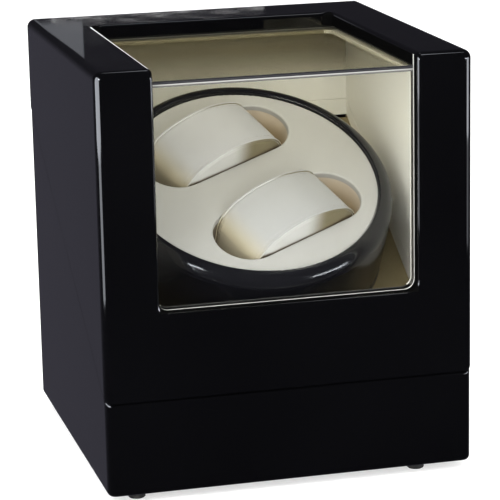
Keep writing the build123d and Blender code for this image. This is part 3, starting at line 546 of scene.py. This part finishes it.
def cushion_profile():
    """The cushion's outline seen from its side: (points with outward directions), closed, anticlockwise."""
    crown_y = FACE_TOP + CROWN_RISE - CROWN_RADIUS
    reach = CROWN_RADIUS - END_RADIUS
    end_x = reach * sin(CROWN_HALF_ANGLE)
    end_y = crown_y + reach * cos(CROWN_HALF_ANGLE)
    half = end_x + END_RADIUS
    low = CUSHION_BOTTOM + CORNER_RADIUS
    inner = half - CORNER_RADIUS
    rising = pi / 2 - CROWN_HALF_ANGLE
    return (arc((end_x, end_y), END_RADIUS, 0.0, rising)
            + arc((0, crown_y), CROWN_RADIUS, rising, 2 * CROWN_HALF_ANGLE)
            + arc((-end_x, end_y), END_RADIUS, pi - rising, rising)
            + run((-half, end_y), (-half, low), (-1, 0))
            + arc((-inner, low), CORNER_RADIUS, pi, pi / 2)
            + run((-inner, CUSHION_BOTTOM), (inner, CUSHION_BOTTOM), (0, -1))
            + arc((inner, low), CORNER_RADIUS, 1.5 * pi, pi / 2)
            + run((half, low), (half, end_y), (1, 0)))


def add_mesh(name, points, faces, look):
    """A new smooth mesh object from points in the shared frame."""
    mesh = bpy.data.meshes.new(name)
    mesh.from_pydata([tuple(point) for point in points], [], faces)
    mesh.materials.append(look)
    mesh.shade_smooth()
    obj = bpy.data.objects.new(name, mesh)
    bpy.context.scene.collection.objects.link(obj)
    return obj


def soft_step(value):
    """A value from 0 to 1, eased at both ends."""
    value = min(1.0, max(0.0, value))
    return value * value * (3 - 2 * value)


PROFILE = cushion_profile()
PROFILE_MIDDLE = 0.5 * (CUSHION_BOTTOM + FACE_TOP + CROWN_RISE)


def cushion_rings():
    """Rings of (across, inset, share towards the middle), from one side's middle to the other's."""
    half = CUSHION_WIDTH / 2
    edge_steps = 6
    side_steps = 9
    flat_steps = 16
    side = []
    for k in range(side_steps):
        share = 1 - k / side_steps
        side.append((-half, EDGE_RADIUS, share))
    edge = []
    for k in range(edge_steps):
        angle = pi / 2 * k / edge_steps
        edge.append((-half + EDGE_RADIUS * (1 - cos(angle)), EDGE_RADIUS * (1 - sin(angle)), 0.0))
    flat = half - EDGE_RADIUS
    band = [(-flat + 2 * flat * k / flat_steps, 0.0, 0.0) for k in range(flat_steps + 1)]
    mirrored = [(-across, inset, share) for across, inset, share in reversed(side + edge)]
    return side + edge + band + mirrored


def crown_swell(across, outward_up):
    """How far the band bulges between its two seams."""
    share = across / (CUSHION_WIDTH / 2)
    return BAND_SWELL * (1 - share ** 4) * max(0.0, outward_up)


def side_relief(along, height, share, side):
    """How far a side panel stands out: a soft belly, and creases gathered towards the two ends."""
    belly = BELLY * soft_step(share * 1.6)
    near_end = soft_step((abs(along) - CREASES_FROM) / CREASES_SPAN)
    fan = CREASE_DEPTH * sin(height / (1.25 * MM) + along / (2.6 * MM) + 0.7 * side)
    fading = soft_step(share * 5) * soft_step((0.85 - share) * 2)
    return belly + fan * near_end * fading


def cushion_points(offset):
    """The cushion's rings as points in the shared frame."""
    rows = []
    for across, inset, share in cushion_rings():
        row = []
        side = -1 if across < 0 else 1
        for (along, height), (out_along, out_up) in PROFILE:
            a = along - inset * out_along
            h = height - inset * out_up
            swell = crown_swell(across, out_up) * (inset < EDGE_RADIUS)
            a += swell * out_along
            h += swell * out_up
            b = across
            if share > 0:
                spine = max(-16 * MM, min(16 * MM, a * 0.6))
                a += (spine - a) * share
                h += (PROFILE_MIDDLE - 4 * MM - h) * share
                b += side * side_relief(a, h, share, side)
            row.append(well_point(a, offset + b, h))
        rows.append(row)
    return rows


def skin(rows):
    """Points and faces of a skin over rings, closed by a fan in the middle of each end."""
    count = len(rows[0])
    points = [point for row in rows for point in row]
    faces = []
    for j in range(len(rows) - 1):
        for k in range(count):
            after = (k + 1) % count
            faces.append((j * count + k, j * count + after, (j + 1) * count + after, (j + 1) * count + k))
    for j, order in ((0, -1), (len(rows) - 1, 1)):
        ring = list(range(j * count, (j + 1) * count))
        middle = sum((points[k] for k in ring), Vector()) / count
        points.append(middle)
        for k in range(count):
            pair = (ring[k], ring[(k + 1) % count])
            faces.append((*pair[::order], len(points) - 1))
    return points, faces


def tube(name, path, radius, look):
    """A round bead along a path of points, closed at its ends."""
    curve = bpy.data.curves.new(name, "CURVE")
    curve.dimensions = "3D"
    curve.bevel_depth = radius
    curve.bevel_resolution = 2
    curve.use_fill_caps = True
    line = curve.splines.new("POLY")
    line.points.add(len(path) - 1)
    for point, place in zip(line.points, path):
        point.co = (*place, 1.0)
    curve.materials.append(look)
    made = bpy.data.objects.new(name + "_path", curve)
    bpy.context.scene.collection.objects.link(made)
    mesh = bpy.data.meshes.new_from_object(made.evaluated_get(bpy.context.evaluated_depsgraph_get()))
    bpy.data.objects.remove(made)
    mesh.name = name
    mesh.shade_smooth()
    obj = bpy.data.objects.new(name, mesh)
    bpy.context.scene.collection.objects.link(obj)
    return obj


def seam_line(offset, across, lift):
    """Points of a seam over the arch, from low on the right end over the crown to low on the left."""
    count = len(PROFILE)
    low = CUSHION_BOTTOM + 6 * MM
    start = next(k for k in range(count) if PROFILE[k][1][0] == 1 and PROFILE[k][0][1] > low)
    ordered = PROFILE[start:] + PROFILE[:start]
    line = []
    for (along, height), (out_along, out_up) in ordered:
        if out_up < -0.1 or height < low:
            break
        line.append(well_point(along + lift * out_along, offset + across, height + lift * out_up))
    return line


def stitches(name, line, look, pitch=2.6 * MM, length=1.7 * MM, radius=0.16 * MM):
    """Short threads laid end to end along a seam, each sunk at both ends."""
    points, faces = [], []
    travelled, following = 0.0, pitch / 2
    for k in range(len(line) - 1):
        step = line[k + 1] - line[k]
        while travelled + step.length >= following:
            middle = line[k] + step.normalized() * (following - travelled)
            add_thread(points, faces, middle, step.normalized(), length, radius)
            following += pitch
        travelled += step.length
    return add_mesh(name, points, faces, look)


def add_thread(points, faces, middle, direction, length, radius):
    """One bead-like stitch: rings along its length, thick in the middle and closed at both ends."""
    side = direction.cross(ACROSS).normalized()
    up = direction.cross(side)
    rings, around = 7, 6
    first = len(points)
    for j in range(rings):
        share = -1 + 2 * (j + 0.5) / rings
        thick = radius * (1 - share ** 4) ** 0.5
        for k in range(around):
            angle = 2 * pi * k / around
            points.append(middle + direction * (share * length / 2)
                          + thick * (cos(angle) * side + sin(angle) * up))
    for j in range(rings - 1):
        for k in range(around):
            a = first + j * around + k
            b = first + j * around + (k + 1) % around
            faces.append((a, b, b + around, a + around))
    faces.append(tuple(first + k for k in reversed(range(around))))
    faces.append(tuple(first + (rings - 1) * around + k for k in range(around)))


def make_cushion(body, offset):
    """A stuffed watch cushion with piped seams over its arch, for one well."""
    points, faces = skin(cushion_points(offset))
    pad = add_mesh(body + "_pad", points, faces, looks[body])
    fix_normals(pad)
    smooth = pad.modifiers.new("smooth", "SUBSURF")
    smooth.levels = smooth.render_levels = 1
    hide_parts(body)
    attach(pad, body)
    half = CUSHION_WIDTH / 2
    for side, word in ((-1, "near"), (1, "far")):
        edge = seam_line(offset, side * (half - PIPING_INSET), -PIPING_SINK)
        piping = tube(f"{body}_piping_{word}", edge, PIPING_RADIUS, looks[body])
        seam = seam_line(offset, side * (half - STITCH_INSET), STITCH_LIFT)
        thread = stitches(f"{body}_stitches_{word}", seam, looks[body])
        for piece in (piping, thread):
            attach(piece, body)


def fix_normals(obj):
    """Turns every face outwards."""
    form = bmesh.new()
    form.from_mesh(obj.data)
    bmesh.ops.recalc_face_normals(form, faces=form.faces)
    form.to_mesh(obj.data)
    form.free()


make_cushion("cushion_front", -WELL_OFFSET)
make_cushion("cushion_rear", WELL_OFFSET)


# ------------------------------------------------------------------ floor, lights and surroundings
def make_floor():
    """A wide pale floor, lit from below like a light table, and left out of mirror reflections."""
    look = Look("floor", 0.9, Emission_Color=(1, 1, 1, 1), Emission_Strength=0.55)
    cloud = look.noise(0.4, 2.0)
    look.colour(look.blended(cloud, (0.56, 0.56, 0.56), (0.60, 0.60, 0.60)))
    size = 6.0
    corners = [(-size, -size, 0), (size, -size, 0), (size, size, 0), (-size, size, 0)]
    floor = add_mesh("floor", corners, [(0, 1, 2, 3)], look.done())
    floor.visible_glossy = False


def add_light(name, place, target, size, power, colour, seen_by):
    """A soft rectangular light that faces a point, seen_by surfaces (with no mirror image) or mirrors."""
    data = bpy.data.lights.new(name, "AREA")
    data.shape = "RECTANGLE"
    data.size, data.size_y = size
    data.energy = power
    data.color = colour
    light = bpy.data.objects.new(name, data)
    bpy.context.scene.collection.objects.link(light)
    light.location = place
    light.rotation_euler = (Vector(target) - Vector(place)).to_track_quat("-Z", "Y").to_euler()
    light.visible_glossy = seen_by != "surfaces"
    light.visible_diffuse = seen_by != "mirrors"
    light.visible_camera = False


BOX_MIDDLE = (0, 0, 0.11)
COOL = (0.88, 0.92, 1.0)
WARM = (1.0, 0.99, 0.972)
WHITE = (1.0, 1.0, 1.0)


def around_box(azimuth, elevation, distance):
    """A place round the box's middle: azimuth 0 is in front and 90 on the right, in degrees."""
    turn, rise = radians(azimuth), radians(elevation)
    level = distance * cos(rise)
    return (level * sin(turn), -level * cos(turn), BOX_MIDDLE[2] + distance * sin(rise))


def make_lights():
    """Broad light for the surfaces, and strips that only show as reflections in the gloss."""
    for name, place, size, power, colour, seen_by in (
            ("overhead", (-22, 52, 1.0), (0.8, 0.8), 9.6, WARM, "surfaces"),
            ("left_fill", (-48, 20, 1.1), (0.7, 0.7), 7.6, WARM, "surfaces"),
            ("front_fill", (5, 6, 1.1), (0.5, 0.5), 6.2, WARM, "surfaces"),
            ("back_fill", (172, 28, 1.1), (0.6, 0.6), 5.0, WARM, "surfaces"),
            ("front_left_box", (-40, 24, 0.9), (0.24, 0.14), 2.2, COOL, "mirrors"),
            ("bezel_box", (42, 3, 0.9), (0.34, 0.15), 2.2, COOL, "mirrors")):
        add_light(name, around_box(*place), BOX_MIDDLE, size, power, colour, seen_by)
    for name, place, target, size, power, colour in (
            ("left_panel", (-0.41, -0.21, 0.29), (-0.0875, -0.0875, 0.29), (0.38, 0.40), 3.1, COOL),
            ("left_low", (-0.41, -0.23, 0.045), (-0.0875, -0.0875, 0.045), (0.20, 0.09), 0.20, COOL),
            ("right_panel", (0.445, -0.256, 0.145), (0.0835, -0.0846, 0.145), (0.22, 0.13), 0.50, COOL),
            ("right_low", (0.445, -0.256, 0.045), (0.0835, -0.0846, 0.045), (0.20, 0.07), 0.05, COOL),
            ("edge_strip", (0.24, 0.04, 1.05), (0, -0.08, 0.2), (0.60, 0.06), 0.36, COOL),
            ("rim_light", (0.05, 0.40, 0.222), (0.05, -0.08, 0.2), (0.14, 0.045), 0.06, WHITE),
            ("corner_glow", (-0.03, 0.40, 0.265), (-0.07, 0.05, 0.2), (0.06, 0.03), 0.0013, COOL)):
        add_light(name, place, target, size, power, colour, "mirrors")


def make_surroundings():
    """White behind the object, a dim cool room in its reflections and an even fill for the rest."""
    world = bpy.data.worlds.new("surroundings")
    bpy.context.scene.world = world
    world.use_nodes = True
    tree = world.node_tree
    tree.nodes.clear()
    output = tree.nodes.new("ShaderNodeOutputWorld")
    path = tree.nodes.new("ShaderNodeLightPath")
    shades = {}
    for name, colour, strength in (("seen", (1.0, 1.0, 1.0), 1.0), ("fill", (0.99, 0.995, 1.0), 1.3),
                                   ("mirrored", (0.66, 0.64, 0.82), None)):
        shades[name] = tree.nodes.new("ShaderNodeBackground")
        shades[name].inputs["Color"].default_value = (*colour, 1.0)
        if strength is not None:
            shades[name].inputs["Strength"].default_value = strength
    # the room is dimmer in front of the box than behind it, and dimmer above than below
    place = tree.nodes.new("ShaderNodeTexCoord")
    parts = tree.nodes.new("ShaderNodeSeparateXYZ")
    tree.links.new(place.outputs["Generated"], parts.inputs[0])
    dimmed = tree.nodes.new("ShaderNodeMath")
    dimmed.operation = "MULTIPLY"
    for k, (axis, start, end, at_start, at_end) in enumerate((("Y", -0.3, 0.8, 0.008, 0.125),
                                                              ("Z", -0.15, 0.15, 1.0, 0.27))):
        ramp = tree.nodes.new("ShaderNodeMapRange")
        for socket, value in (("From Min", start), ("From Max", end), ("To Min", at_start), ("To Max", at_end)):
            ramp.inputs[socket].default_value = value
        tree.links.new(parts.outputs[axis], ramp.inputs["Value"])
        tree.links.new(ramp.outputs[0], dimmed.inputs[k])
    tree.links.new(dimmed.outputs[0], shades["mirrored"].inputs["Strength"])
    inner = tree.nodes.new("ShaderNodeMixShader")
    outer = tree.nodes.new("ShaderNodeMixShader")
    tree.links.new(path.outputs["Is Glossy Ray"], inner.inputs["Fac"])
    tree.links.new(shades["fill"].outputs[0], inner.inputs[1])
    tree.links.new(shades["mirrored"].outputs[0], inner.inputs[2])
    tree.links.new(path.outputs["Is Camera Ray"], outer.inputs["Fac"])
    tree.links.new(inner.outputs[0], outer.inputs[1])
    tree.links.new(shades["seen"].outputs[0], outer.inputs[2])
    tree.links.new(outer.outputs[0], output.inputs["Surface"])


make_floor()
make_lights()
make_surroundings()
bpy.context.scene.view_settings.view_transform = "Standard"
